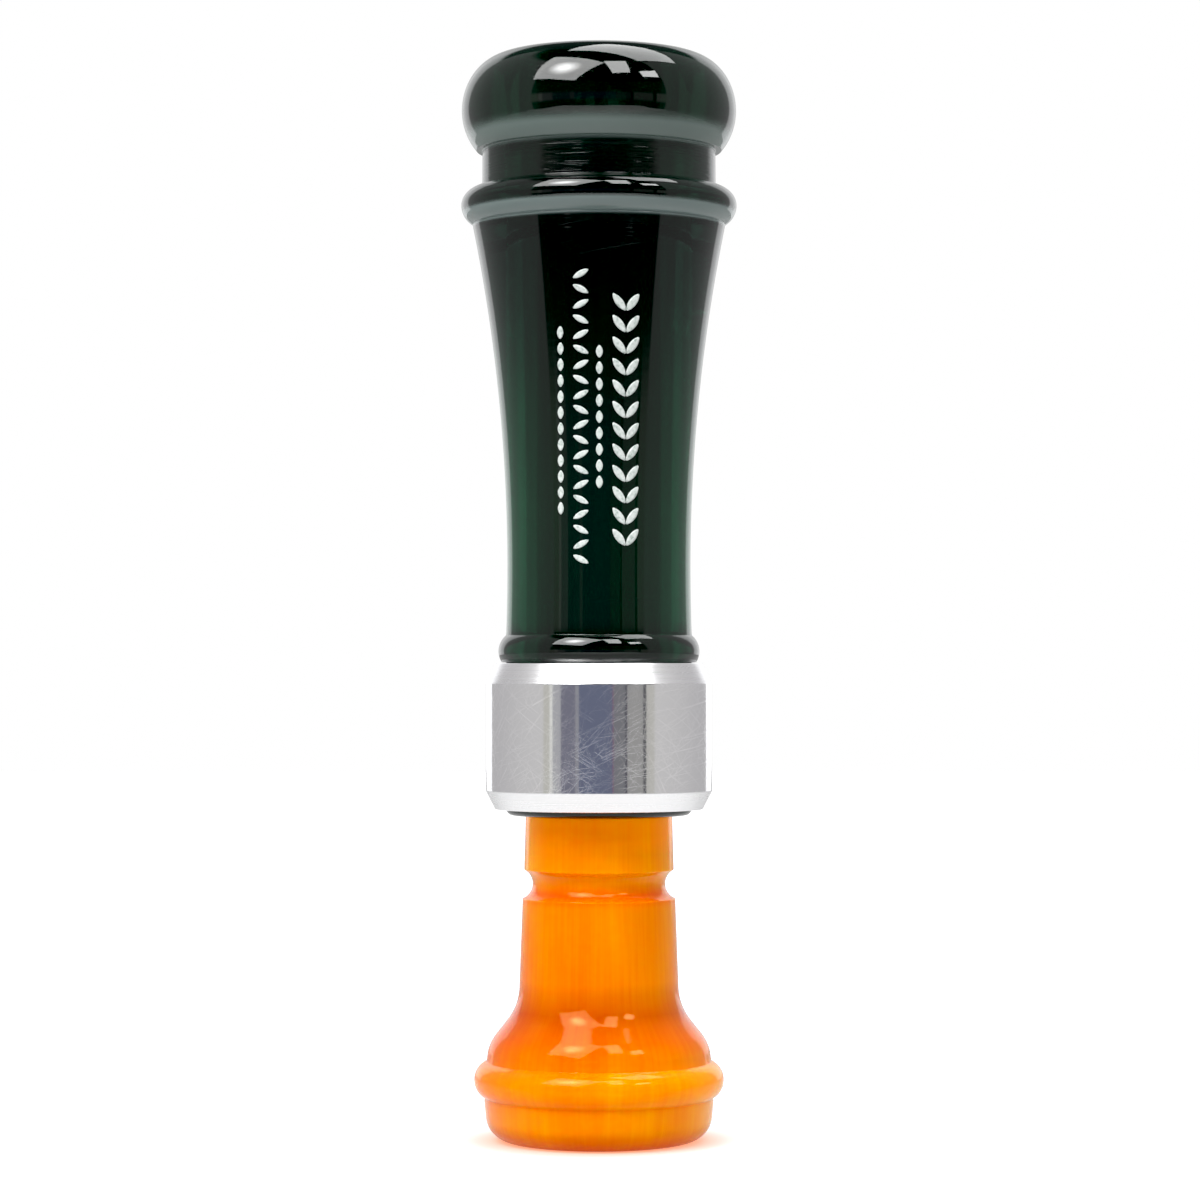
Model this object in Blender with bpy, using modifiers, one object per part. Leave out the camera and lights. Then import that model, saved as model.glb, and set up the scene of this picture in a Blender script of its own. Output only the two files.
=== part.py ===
"""An Arkansas-style duck call, standing on its exhaust bell with the mouthpiece up.

Run with: blender --background --python part.py

The call comes apart into a turned barrel with a metal band on its lower end, and a turned
insert whose tenon plugs into the barrel on two O-rings. The insert ends in a toneboard, on
which a thin reed is clamped by a cork wedge.

Every length below is in millimetres and every angle in degrees; the modelling functions turn
them into metres. +Z is the call's axis and points to the mouthpiece, the origin is the centre
of the face it stands on, and the toneboard faces -Y.
"""

from math import asin, atan, cos, degrees, radians, sin, sqrt, tan

import bmesh
import bpy
from mathutils import Matrix

MM = 0.001
SEGMENTS = 40
MERGE = 0.00001

# Driving sizes
TOTAL_HEIGHT = 137.0
BORE_RADIUS = 7.94
BAND_RADIUS = 14.28
SPIGOT_RADIUS = 11.70
SHOULDER_Z = 40.85
BEAD_TOOL_RADIUS = 2.6
TONE_BORE_RADIUS = 2.8

# Running and assembly gaps
FACE_GAP = 0.10
BAND_GAP = 0.06
TENON_GAP = 0.11
RING_GAP = 0.045
REED_GAP = 0.03
WEDGE_GAP = 0.30

# Barrel
BARREL_BOTTOM_Z = SHOULDER_Z + FACE_GAP
BARREL_TIP_ROUND = 0.8
BARREL_SHOULDER_Z = 60.2
BARREL_BEAD_CENTRE = (10.10, 61.6)
BARREL_BEAD_START = 50.0
WAIST_RADIUS = 11.57
WAIST_Z = 71.9
WAIST_ARC_RADIUS = 217.0
WAIST_BOTTOM_Z = 64.0
WAIST_TOP_Z = 115.4
RING_CENTRE = (14.83, 117.95)
RING_TOP_HEIGHT = 2.3
RING_TOP_START = 91.0
RING_UNDERCUT = -66.0
LANYARD_RADIUS = 14.76
LANYARD_TOP_Z = 124.9
LIP_CENTRE = (9.72, 129.95)
LIP_RADIUS = 7.65
LIP_CROWN_RADIUS = 11.4
LIP_UNDERCUT = -41.0
MOUTH_DEPTH = 4.6

# Band
BAND_BOTTOM_Z = 41.7
BAND_TOP_Z = BARREL_SHOULDER_Z - FACE_GAP
BAND_CHAMFER = 1.17
BAND_TOP_CHAMFER_Z = 2.6
BAND_BOTTOM_CHAMFER_Z = 2.3

# Insert, outside
FOOT_ROUND_CENTRE = (11.0, 3.3)
BASE_TOP = (14.46, 5.0)
BELL_BEAD_CENTRE = (13.25, 7.65)
BELL_BEAD_RADIUS = 2.5
BELL_BEAD_START = 68.0
BELL_BEAD_END = -62.0
BELL_SHOULDER_RADIUS = 5.7
BELL_COVE_RADIUS = 7.0
BELL_SLOPE = 38.5
BELL_SHOULDER_START = 12.0
BELL_SLOPE_LENGTH = 2.20
NECK_BOTTOM = (10.04, 19.5)
NECK_TOP_RADIUS = 9.63
GROOVE_CENTRE = (10.36, 32.3)
GROOVE_RADIUS = 2.0
COLLAR_BOTTOM_RADIUS = 9.43
COLLAR_TOP_RADIUS = 9.23
TENON_RADIUS = BORE_RADIUS - TENON_GAP
RING_GROOVE_CENTRES = (45.6, 54.4)
RING_GROOVE_WIDTH = 2.6
RING_GROOVE_RADIUS = 6.30
TIP_Z = 117.0

# Insert, inside
EXHAUST_RADIUS = 8.4
EXHAUST_LIP = 0.5
EXHAUST_FLARE = 1.8
FLARE_TOP_Z = 30.0
TONE_BORE_TOP_Z = 66.0

# Toneboard, wedge and reed, as distances in front of (-) or behind (+) the axis
TONEBOARD_Y = -2.9
NOTCH_Z = 58.3
NOTCH_UNDERCUT = 40.0
CURVE_START_Z = 72.0
TIP_FALL = 1.6
CHANNEL_HALF_WIDTH = 2.5
CHANNEL_FLOOR_Y = 2.6
CHANNEL_BOTTOM_Z = 60.5
CHANNEL_CURVE_Z = 78.0
CHANNEL_END_Z = 113.0
CHANNEL_END_Y = -1.8
CHANNEL_OVERCUT = 0.1
TIP_CORNER_RADIUS = 5.0
TIP_HALF_WIDTH = 7.6
TIP_BACK_Y = 2.6
TIP_BEVEL_Z = 101.0
WEDGE_FRONT_Z = 68.0
WEDGE_RADIUS = 7.60
REED_THICKNESS = 0.35
REED_HALF_WIDTH = 7.0
REED_TOP_Z = 116.3
REED_CORNER = 1.6
CLEAR = 3.0

# O-rings, squeezed to an oval section between the groove and the bore
RING_OUTER_RADIUS = BORE_RADIUS - RING_GAP
RING_HALF_DEPTH = 0.76
RING_SQUEEZE = 1.25
RING_SIDES = 8


def clear_scene():
    for obj in list(bpy.data.objects):
        bpy.data.objects.remove(obj, do_unlink=True)


def new_collection(name):
    collection = bpy.data.collections.new(name)
    bpy.context.scene.collection.children.link(collection)
    return collection


def principled(name, colour, roughness, metallic=0.0, transmission=0.0):
    material = bpy.data.materials.new(name)
    material.use_nodes = True
    shader = material.node_tree.nodes["Principled BSDF"]
    shader.inputs["Base Color"].default_value = (*colour, 1.0)
    shader.inputs["Roughness"].default_value = roughness
    shader.inputs["Metallic"].default_value = metallic
    shader.inputs["Transmission Weight"].default_value = transmission
    material.diffuse_color = (*colour, 1.0)
    return material


def ellipse(centre, across, up, start, end, steps):
    """Points on part of an ellipse in the profile plane, as (radius, height)."""
    turns = [radians(start + (end - start) * i / steps) for i in range(steps + 1)]
    return [(centre[0] + across * cos(a), centre[1] + up * sin(a)) for a in turns]


def arc(centre, radius, start, end, steps):
    return ellipse(centre, radius, radius, start, end, steps)


def spread(start, end, steps):
    """Evenly spaced numbers from start to end, both included."""
    return [start + (end - start) * i / steps for i in range(steps + 1)]


def link(obj, collection, material=None):
    collection.objects.link(obj)
    if material is not None:
        obj.data.materials.append(material)
    return obj


def turned(name, profile, collection, material, closed):
    """A solid turned about Z from a profile that runs down its outer side."""
    mesh = bpy.data.meshes.new(name)
    shape = bmesh.new()
    points = [shape.verts.new((r * MM, 0.0, z * MM)) for r, z in profile]
    for first, second in zip(points, points[1:]):
        shape.edges.new((first, second))
    if closed:
        shape.edges.new((points[-1], points[0]))
    shape.to_mesh(mesh)
    shape.free()
    obj = link(bpy.data.objects.new(name, mesh), collection, material)
    screw = obj.modifiers.new("turn", "SCREW")
    screw.axis = "Z"
    screw.steps = SEGMENTS
    screw.render_steps = SEGMENTS
    screw.use_merge_vertices = True
    screw.merge_threshold = MERGE
    screw.use_smooth_shade = True
    return obj


def outline_curve(name, outline, half_thickness, turn, offset):
    """A flat closed outline in millimetres, thickened both ways and stood up by turn."""
    curve = bpy.data.curves.new(name, "CURVE")
    curve.dimensions = "2D"
    curve.fill_mode = "BOTH"
    curve.extrude = half_thickness * MM
    spline = curve.splines.new("POLY")
    spline.points.add(len(outline) - 1)
    for point, (u, v) in zip(spline.points, outline):
        point.co = (u * MM, v * MM, 0.0, 1.0)
    spline.use_cyclic_u = True
    obj = bpy.data.objects.new(name, curve)
    obj.rotation_euler = [radians(angle) for angle in turn]
    obj.location = [value * MM for value in offset]
    return obj


def as_mesh(curve_obj, collection, material=None):
    """The same shape as a closed mesh object, which a Boolean can use."""
    collection.objects.link(curve_obj)
    bpy.context.view_layer.update()
    graph = bpy.context.evaluated_depsgraph_get()
    mesh = bpy.data.meshes.new_from_object(curve_obj.evaluated_get(graph))
    shape = bmesh.new()
    shape.from_mesh(mesh)
    bmesh.ops.remove_doubles(shape, verts=shape.verts, dist=MERGE)
    bmesh.ops.recalc_face_normals(shape, faces=shape.faces)
    shape.to_mesh(mesh)
    shape.free()
    name, place = curve_obj.name, curve_obj.matrix_world.copy()
    bpy.data.objects.remove(curve_obj, do_unlink=True)
    mesh.materials.clear()
    obj = link(bpy.data.objects.new(name, mesh), collection, material)
    obj.matrix_world = place
    return obj


SIDE_VIEW = (90.0, 0.0, 90.0)
FRONT_VIEW = (90.0, 0.0, 0.0)


def side_prism(name, outline, half_width, collection, material=None):
    """A prism across the call, from an outline of (depth, height) points."""
    return as_mesh(outline_curve(name, outline, half_width, SIDE_VIEW, (0, 0, 0)), collection, material)


def front_prism(name, outline, half_depth, collection):
    """A prism through the call from front to back, from an outline of (across, height) points."""
    return as_mesh(outline_curve(name, outline, half_depth, FRONT_VIEW, (0, 0, 0)), collection)


def boolean(obj, other, operation):
    modifier = obj.modifiers.new(f"{operation.lower()} {other.name}", "BOOLEAN")
    modifier.operation = operation
    modifier.object = other


def as_cutter(obj):
    obj.hide_render = True
    obj.display_type = "WIRE"
    return obj


def waist_radius(z):
    """The hollow waist: one long arc, narrowest at WAIST_Z."""
    return WAIST_RADIUS + WAIST_ARC_RADIUS - sqrt(WAIST_ARC_RADIUS**2 - (z - WAIST_Z) ** 2)


def barrel_profile():
    crown = (LIP_CROWN_RADIUS, LIP_CENTRE[1])
    crown_across = LIP_CENTRE[0] + LIP_RADIUS - LIP_CROWN_RADIUS
    lip = ellipse(crown, crown_across, TOTAL_HEIGHT - crown[1], 90, 0, 9)
    lip += arc(LIP_CENTRE, LIP_RADIUS, 0, LIP_UNDERCUT, 5)[1:]
    lanyard_groove = [(LANYARD_RADIUS, LANYARD_TOP_Z)]
    ring = ellipse(RING_CENTRE, BEAD_TOOL_RADIUS, RING_TOP_HEIGHT, RING_TOP_START, 0, 6)
    ring += arc(RING_CENTRE, BEAD_TOOL_RADIUS, 0, RING_UNDERCUT, 4)[1:]
    waist = [(waist_radius(z), z) for z in spread(WAIST_TOP_Z, WAIST_BOTTOM_Z, 10)]
    bead_low = -degrees(asin((BARREL_BEAD_CENTRE[1] - BARREL_SHOULDER_Z) / BEAD_TOOL_RADIUS))
    bead = arc(BARREL_BEAD_CENTRE, BEAD_TOOL_RADIUS, BARREL_BEAD_START, bead_low, 6)
    tip_centre = (SPIGOT_RADIUS - BARREL_TIP_ROUND, BARREL_BOTTOM_Z + BARREL_TIP_ROUND)
    spigot = [(SPIGOT_RADIUS, bead[-1][1])]
    spigot += arc(tip_centre, BARREL_TIP_ROUND, 0, -90, 3)
    bore = [(BORE_RADIUS, BARREL_BOTTOM_Z)]
    mouth = (LIP_CROWN_RADIUS, TOTAL_HEIGHT - MOUTH_DEPTH)
    mouth_flare = ellipse(mouth, LIP_CROWN_RADIUS - BORE_RADIUS, MOUTH_DEPTH, 180, 90, 5)[:-1]
    return lip + lanyard_groove + ring + waist + bead + spigot + bore + mouth_flare


def band_profile():
    outer, inner = BAND_RADIUS, SPIGOT_RADIUS + BAND_GAP
    edge = outer - BAND_CHAMFER
    return [
        (inner, BAND_TOP_Z),
        (edge, BAND_TOP_Z),
        (outer, BAND_TOP_Z - BAND_TOP_CHAMFER_Z),
        (outer, BAND_BOTTOM_Z + BAND_BOTTOM_CHAMFER_Z),
        (edge, BAND_BOTTOM_Z),
        (inner, BAND_BOTTOM_Z),
    ]


def ring_groove(centre_z):
    """A square-cut O-ring groove in the tenon, from top to bottom."""
    top, bottom = centre_z + RING_GROOVE_WIDTH / 2, centre_z - RING_GROOVE_WIDTH / 2
    return [
        (TENON_RADIUS, top),
        (RING_GROOVE_RADIUS, top),
        (RING_GROOVE_RADIUS, bottom),
        (TENON_RADIUS, bottom),
    ]


def groove_reach(radius):
    """How far above or below its centre the lanyard groove meets this radius."""
    return sqrt(GROOVE_RADIUS**2 - (GROOVE_CENTRE[0] - radius) ** 2)


def bell_ogee():
    """The cove below the neck, the straight slope and the shoulder above the bead."""
    cove_centre = (NECK_BOTTOM[0] + BELL_COVE_RADIUS, NECK_BOTTOM[1])
    cove = arc(cove_centre, BELL_COVE_RADIUS, 180, 180 + BELL_SLOPE, 4)
    slope = radians(BELL_SLOPE)
    end_r = cove[-1][0] + BELL_SLOPE_LENGTH * sin(slope)
    end_z = cove[-1][1] - BELL_SLOPE_LENGTH * cos(slope)
    centre = (end_r - BELL_SHOULDER_RADIUS * cos(slope), end_z - BELL_SHOULDER_RADIUS * sin(slope))
    return cove + arc(centre, BELL_SHOULDER_RADIUS, BELL_SLOPE, BELL_SHOULDER_START, 3)


def exhaust_radius(z):
    """The exhaust's trumpet shape, from the tone bore out to the bell's mouth."""
    widening = (1 - z / FLARE_TOP_Z) ** EXHAUST_FLARE
    return TONE_BORE_RADIUS + (EXHAUST_RADIUS - TONE_BORE_RADIUS) * widening


def insert_profile():
    """The insert before its toneboard is cut, from the axis at the tip to the blind tone bore."""
    blank = [(0.0, TIP_Z), (TENON_RADIUS, TIP_Z)]
    for centre_z in reversed(RING_GROOVE_CENTRES):
        blank += ring_groove(centre_z)
    collar_bottom_z = GROOVE_CENTRE[1] + groove_reach(COLLAR_BOTTOM_RADIUS)
    collar = [
        (TENON_RADIUS, SHOULDER_Z),
        (COLLAR_TOP_RADIUS, SHOULDER_Z),
        (COLLAR_BOTTOM_RADIUS, collar_bottom_z),
    ]
    collar_reach = GROOVE_CENTRE[0] - COLLAR_BOTTOM_RADIUS
    neck_reach = GROOVE_CENTRE[0] - NECK_TOP_RADIUS
    high = 180 - degrees(atan(groove_reach(COLLAR_BOTTOM_RADIUS) / collar_reach))
    low = 180 + degrees(atan(groove_reach(NECK_TOP_RADIUS) / neck_reach))
    groove = arc(GROOVE_CENTRE, GROOVE_RADIUS, high, low, 6)[1:]
    bead = arc(BELL_BEAD_CENTRE, BELL_BEAD_RADIUS, BELL_BEAD_START, BELL_BEAD_END, 9)
    foot = arc(FOOT_ROUND_CENTRE, FOOT_ROUND_CENTRE[1], 0, -90, 5)
    mouth = [(EXHAUST_RADIUS + EXHAUST_LIP, 0.0)]
    flare = [(exhaust_radius(z), z) for z in spread(EXHAUST_LIP, FLARE_TOP_Z, 7)]
    bore = [(TONE_BORE_RADIUS, TONE_BORE_TOP_Z), (0.0, TONE_BORE_TOP_Z)]
    return blank + collar + groove + bell_ogee() + bead + [BASE_TOP] + foot + mouth + flare + bore


def notch_z(y):
    """The undercut rear wall of the wedge notch, which leans over the reed."""
    return NOTCH_Z + (TONEBOARD_Y - y) * tan(radians(NOTCH_UNDERCUT))


def toneboard_y(z):
    """The toneboard's face: flat under the wedge, then falling away to the tip."""
    along = max(0.0, (z - CURVE_START_Z) / (TIP_Z - CURVE_START_Z))
    return TONEBOARD_Y + TIP_FALL * along**2


def channel_y(z):
    """The floor of the tone channel: level, then rising in a J to the toneboard's face."""
    along = max(0.0, (z - CHANNEL_CURVE_Z) / (CHANNEL_END_Z - CHANNEL_CURVE_Z))
    return CHANNEL_FLOOR_Y + (CHANNEL_END_Y - CHANNEL_FLOOR_Y) * along**2


def toneboard_cutter(cutters):
    """Takes off everything in front of the toneboard, up to the notch's undercut wall."""
    front, beyond = -TENON_RADIUS - CLEAR, TIP_Z + CLEAR
    outline = [(TONEBOARD_Y, NOTCH_Z)]
    outline += [(toneboard_y(z), z) for z in spread(CURVE_START_Z, TIP_Z, 8)]
    outline += [(toneboard_y(beyond), beyond), (front, beyond), (front, notch_z(front))]
    return as_cutter(side_prism("toneboard_cutter", outline, TENON_RADIUS + CLEAR, cutters))


def channel_cutter(cutters):
    mouth_y = TONEBOARD_Y - CHANNEL_OVERCUT
    outline = [(mouth_y, CHANNEL_BOTTOM_Z), (CHANNEL_FLOOR_Y, CHANNEL_BOTTOM_Z)]
    outline += [(channel_y(z), z) for z in spread(CHANNEL_CURVE_Z, CHANNEL_END_Z, 7)]
    outline += [(mouth_y, CHANNEL_END_Z)]
    return as_cutter(side_prism("channel_cutter", outline, CHANNEL_HALF_WIDTH, cutters))


def tip_bevel_cutter(cutters):
    """Thins the back of the toneboard towards its tip."""
    back = TENON_RADIUS + CLEAR
    slope = (TENON_RADIUS - TIP_BACK_Y) / (TIP_Z - TIP_BEVEL_Z)
    outline = [
        (back, TIP_BEVEL_Z - CLEAR / slope),
        (back, TIP_Z + CLEAR),
        (TIP_BACK_Y - slope * CLEAR, TIP_Z + CLEAR),
    ]
    return as_cutter(side_prism("tip_bevel_cutter", outline, TENON_RADIUS + CLEAR, cutters))


def tip_corner_cutter(side, cutters):
    """Rounds one corner of the toneboard's tip, seen from the front."""
    inner, outer = TIP_HALF_WIDTH - TIP_CORNER_RADIUS, TENON_RADIUS + CLEAR
    round_centre = (inner, TIP_Z - TIP_CORNER_RADIUS)
    outline = [(inner, TIP_Z + CLEAR)]
    outline += arc(round_centre, TIP_CORNER_RADIUS, 90, 0, 6)
    outline += [(outer, TIP_Z - TIP_CORNER_RADIUS), (outer, TIP_Z + CLEAR)]
    outline = [(side * x, z) for x, z in outline]
    name = "tip_corner_cutter_right" if side > 0 else "tip_corner_cutter_left"
    return as_cutter(front_prism(name, outline, TENON_RADIUS + CLEAR, cutters))


def make_barrel(parts):
    green = principled("green_acrylic", (0.010, 0.060, 0.035), 0.06)
    return turned("barrel", barrel_profile(), parts, green, closed=True)


def make_band(parts):
    aluminium = principled("polished_aluminium", (0.91, 0.92, 0.93), 0.12, metallic=1.0)
    return turned("band", band_profile(), parts, aluminium, closed=True)


def make_insert(parts, cutters):
    amber = principled("amber_acrylic", (0.95, 0.32, 0.01), 0.12)
    insert = turned("insert", insert_profile(), parts, amber, closed=False)
    boolean(insert, toneboard_cutter(cutters), "DIFFERENCE")
    boolean(insert, channel_cutter(cutters), "DIFFERENCE")
    boolean(insert, tip_bevel_cutter(cutters), "DIFFERENCE")
    for side in (-1, 1):
        boolean(insert, tip_corner_cutter(side, cutters), "DIFFERENCE")
    return insert


def make_o_rings(parts):
    """Both O-rings sit in their grooves, squeezed flat by the bore."""
    rubber = principled("black_rubber", (0.015, 0.015, 0.016), 0.55)
    for name, centre_z in zip(("o_ring_lower", "o_ring_upper"), RING_GROOVE_CENTRES):
        bpy.ops.mesh.primitive_torus_add(
            major_segments=SEGMENTS,
            minor_segments=RING_SIDES,
            major_radius=(RING_OUTER_RADIUS - RING_HALF_DEPTH) * MM,
            minor_radius=RING_HALF_DEPTH * MM,
            location=(0.0, 0.0, centre_z * MM),
        )
        ring = bpy.context.object
        ring.name = ring.data.name = name
        ring.data.transform(Matrix.Diagonal((1.0, 1.0, RING_SQUEEZE, 1.0)))
        ring.data.materials.append(rubber)
        ring.data.shade_smooth()
        for collection in list(ring.users_collection):
            collection.objects.unlink(ring)
        parts.objects.link(ring)


def make_wedge(parts, cutters):
    """A cork block that jams between the reed and the notch's leaning wall."""
    cork = principled("cork", (0.55, 0.36, 0.20), 0.85)
    seat_y = TONEBOARD_Y - 2 * REED_GAP - REED_THICKNESS
    front_y = -WEDGE_RADIUS - CLEAR
    outline = [
        (seat_y, notch_z(seat_y) + WEDGE_GAP),
        (seat_y, WEDGE_FRONT_Z),
        (front_y, WEDGE_FRONT_Z),
        (front_y, notch_z(front_y) + WEDGE_GAP),
    ]
    wedge = side_prism("wedge", outline, TENON_RADIUS + CLEAR, parts, cork)
    bpy.ops.mesh.primitive_cylinder_add(
        vertices=SEGMENTS,
        radius=WEDGE_RADIUS * MM,
        depth=2 * WEDGE_FRONT_Z * MM,
        location=(0.0, 0.0, WEDGE_FRONT_Z * MM),
    )
    flush = bpy.context.object
    flush.name = flush.data.name = "wedge_outside"
    for collection in list(flush.users_collection):
        collection.objects.unlink(flush)
    cutters.objects.link(as_cutter(flush))
    boolean(wedge, flush, "INTERSECT")
    return wedge


def make_reed(parts):
    """A flat plastic reed with its two free corners clipped."""
    film = principled("reed_film", (0.80, 0.82, 0.80), 0.30, transmission=0.4)
    back_y = TONEBOARD_Y - REED_GAP - REED_THICKNESS
    bottom = notch_z(back_y) + WEDGE_GAP - WEDGE_FRONT_Z
    top = REED_TOP_Z - WEDGE_FRONT_Z
    half = REED_HALF_WIDTH
    outline = [
        (-half, bottom),
        (half, bottom),
        (half, top - REED_CORNER),
        (half - REED_CORNER, top),
        (-half + REED_CORNER, top),
        (-half, top - REED_CORNER),
    ]
    middle_y = back_y + REED_THICKNESS / 2
    hinge = (0.0, middle_y, WEDGE_FRONT_Z)
    reed = outline_curve("reed", outline, REED_THICKNESS / 2, FRONT_VIEW, hinge)
    return as_mesh(reed, parts, film)


def main():
    clear_scene()
    parts = new_collection("duck_call")
    cutters = new_collection("cutters")
    make_barrel(parts)
    make_band(parts)
    make_insert(parts, cutters)
    make_o_rings(parts)
    make_wedge(parts, cutters)
    make_reed(parts)


main()
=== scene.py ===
"""Looks for the duck call: finely turned pieces, procedural materials and a soft white studio.

Lengths are in millimetres and angles in degrees unless a comment says otherwise, and the modelling
functions turn them into metres. The materials and the studio work in metres. +Z is the
call's axis, and its front, towards the camera, is -Y.
"""

from math import asin, atan, cos, degrees, pi, radians, sin, sqrt, tan

import bmesh
import bpy
from mathutils import Matrix, Vector, noise


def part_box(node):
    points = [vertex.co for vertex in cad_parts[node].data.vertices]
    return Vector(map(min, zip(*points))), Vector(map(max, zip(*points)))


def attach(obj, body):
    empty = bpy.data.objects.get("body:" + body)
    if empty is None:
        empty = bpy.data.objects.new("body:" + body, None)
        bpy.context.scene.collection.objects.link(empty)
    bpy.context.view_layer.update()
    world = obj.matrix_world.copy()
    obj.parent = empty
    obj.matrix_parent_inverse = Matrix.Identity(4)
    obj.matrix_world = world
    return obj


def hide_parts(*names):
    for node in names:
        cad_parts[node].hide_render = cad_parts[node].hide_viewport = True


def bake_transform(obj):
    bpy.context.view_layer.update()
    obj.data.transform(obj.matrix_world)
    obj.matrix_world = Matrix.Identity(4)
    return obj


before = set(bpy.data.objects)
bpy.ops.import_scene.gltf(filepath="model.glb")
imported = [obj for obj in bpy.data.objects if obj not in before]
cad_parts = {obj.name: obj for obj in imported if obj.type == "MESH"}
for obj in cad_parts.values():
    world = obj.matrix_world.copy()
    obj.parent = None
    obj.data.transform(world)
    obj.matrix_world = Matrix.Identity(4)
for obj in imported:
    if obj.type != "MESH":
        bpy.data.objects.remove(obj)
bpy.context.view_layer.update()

MM = 0.001

# Steps round a turned piece
STEPS = 192
BAND_STEPS = 256
RING_STEPS = 144

# How close points lie when they are merged, in metres
WELD = 0.000001


def node_size(node):
    """(radius, lowest z, highest z) of a turned CAD node."""
    low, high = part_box(node)
    return high.x / MM, low.z / MM, high.z / MM


# Sizes that the frame gives
BAND_RADIUS, BAND_BOTTOM_Z, BAND_TOP_Z = node_size("band")
_, BARREL_BOTTOM_Z, TOTAL_HEIGHT = node_size("barrel")
_, _, TIP_Z = node_size("insert")
RING_OUTER_RADIUS, LOWER_RING_BOTTOM, LOWER_RING_TOP = node_size("o_ring_lower")
_, UPPER_RING_BOTTOM, UPPER_RING_TOP = node_size("o_ring_upper")
REED_LOW, REED_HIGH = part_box("reed")
_, WEDGE_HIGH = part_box("wedge")

# Turned shape of the barrel
BORE_RADIUS = 7.94
SPIGOT_RADIUS = 11.70
BARREL_TIP_ROUND = 0.8
BARREL_SHOULDER_Z = 60.2
BEAD_TOOL_RADIUS = 2.6
BARREL_BEAD_CENTRE = (10.10, 61.6)
BARREL_BEAD_START = 50.0
WAIST_RADIUS = 11.57
WAIST_Z = 71.9
WAIST_ARC_RADIUS = 217.0
WAIST_BOTTOM_Z = 64.0
WAIST_TOP_Z = 115.4
RING_CENTRE = (14.83, 117.95)
RING_TOP_HEIGHT = 2.3
RING_TOP_START = 91.0
RING_UNDERCUT = -66.0
LANYARD_RADIUS = 14.76
LANYARD_TOP_Z = 124.9
LIP_CENTRE = (9.72, 129.95)
LIP_RADIUS = 7.65
LIP_CROWN_RADIUS = 11.4
LIP_UNDERCUT = -41.0
MOUTH_DEPTH = 4.6

# Band
BAND_CHAMFER = 1.17
BAND_TOP_CHAMFER_Z = 2.6
BAND_BOTTOM_CHAMFER_Z = 2.3
BAND_GAP = 0.06

# Turned shape of the insert
SHOULDER_Z = 40.85
FOOT_ROUND_CENTRE = (11.0, 3.3)
BASE_TOP = (14.46, 5.0)
BELL_BEAD_CENTRE = (13.25, 7.65)
BELL_BEAD_RADIUS = 2.5
BELL_BEAD_START = 68.0
BELL_BEAD_END = -62.0
BELL_SHOULDER_RADIUS = 5.7
BELL_COVE_RADIUS = 7.0
BELL_SLOPE = 38.5
BELL_SHOULDER_START = 12.0
BELL_SLOPE_LENGTH = 2.20
NECK_BOTTOM = (10.04, 19.5)
NECK_TOP_RADIUS = 9.63
GROOVE_CENTRE = (10.36, 32.3)
GROOVE_RADIUS = 2.0
COLLAR_BOTTOM_RADIUS = 9.43
COLLAR_TOP_RADIUS = 9.23
TENON_RADIUS = 7.83
RING_GROOVE_WIDTH = 2.6
RING_GROOVE_RADIUS = 6.30
EXHAUST_RADIUS = 8.4
EXHAUST_LIP = 0.5
EXHAUST_FLARE = 1.8
FLARE_TOP_Z = 30.0
TONE_BORE_RADIUS = 2.8
TONE_BORE_TOP_Z = 66.0

# Toneboard, wedge and reed
TONEBOARD_Y = -2.9
NOTCH_Z = 58.3
NOTCH_UNDERCUT = 40.0
CURVE_START_Z = 72.0
TIP_FALL = 1.6
CHANNEL_HALF_WIDTH = 2.5
CHANNEL_FLOOR_Y = 2.6
CHANNEL_BOTTOM_Z = 60.5
CHANNEL_CURVE_Z = 78.0
CHANNEL_END_Z = 113.0
CHANNEL_END_Y = -1.8
CHANNEL_OVERCUT = 0.1
TIP_CORNER_RADIUS = 5.0
TIP_HALF_WIDTH = 7.6
TIP_BACK_Y = 2.6
TIP_BEVEL_Z = 101.0
WEDGE_GAP = 0.30
WEDGE_RADIUS = 7.60
REED_CORNER = 1.6
RING_SQUEEZE = 1.25

# How far a cutting shape reaches past the piece that it cuts
CLEAR = 3.0

# Detail that only the visual model has. Pits are (noise waves per metre, rim level, depth)
EDGE_SOFTNESS = 0.10
CORK_CELL = 0.14
LARGE_PITS = (620.0, 0.18, 0.22)
SMALL_PITS = (2100.0, 0.15, 0.10)
MARK_PROUD = 0.015
MARK_DEPTH = 0.12
LEAF_TURN = 38.0
SLANT_TURN = 62.0

# Radius at which a round surface is unrolled for its streaks and scratches, in metres
UNROLL_RADIUS = 0.013

# Heights where the finishes change, in metres; UNDER_LIP and UNDER_RING are where the undersides are
# painted paler, a painted glow, and the COLLAR_GLOW heights hold a painted glow on the amber. A zone is
# (start, full, fading, end), going up
UNDER_LIP = (0.1243, 0.1248, 0.1264, 0.1281)
UNDER_RING = (0.1150, 0.1154, 0.1169, 0.1175)
LANYARD_WALL = (0.1190, 0.1200, 0.1246, 0.1254)
GREEN_GLOW_START = (0.0625, 0.0660)
GREEN_GLOW_FADE = (0.072, 0.112)
COLLAR_GLOW_RISE = (0.0362, 0.0407)
COLLAR_GLOW_END = (0.0407, 0.0409)
UPPER_CHAMFER_Z = (BAND_TOP_Z - BAND_TOP_CHAMFER_Z) * MM
LOWER_CHAMFER_Z = (BAND_BOTTOM_Z + BAND_BOTTOM_CHAMFER_Z) * MM
CHAMFER_EDGE = 0.0001

# Clear plastic
BARREL_IOR = 1.49
BARREL_CLARITY = 0.90
INSERT_IOR = 1.40
# COLLAR_GLOW is the strength of a painted glow, an emission on the amber collar where the band shades it
COLLAR_GLOW = 0.38
REED_IOR = 1.57
REED_CLARITY = 0.25

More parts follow.
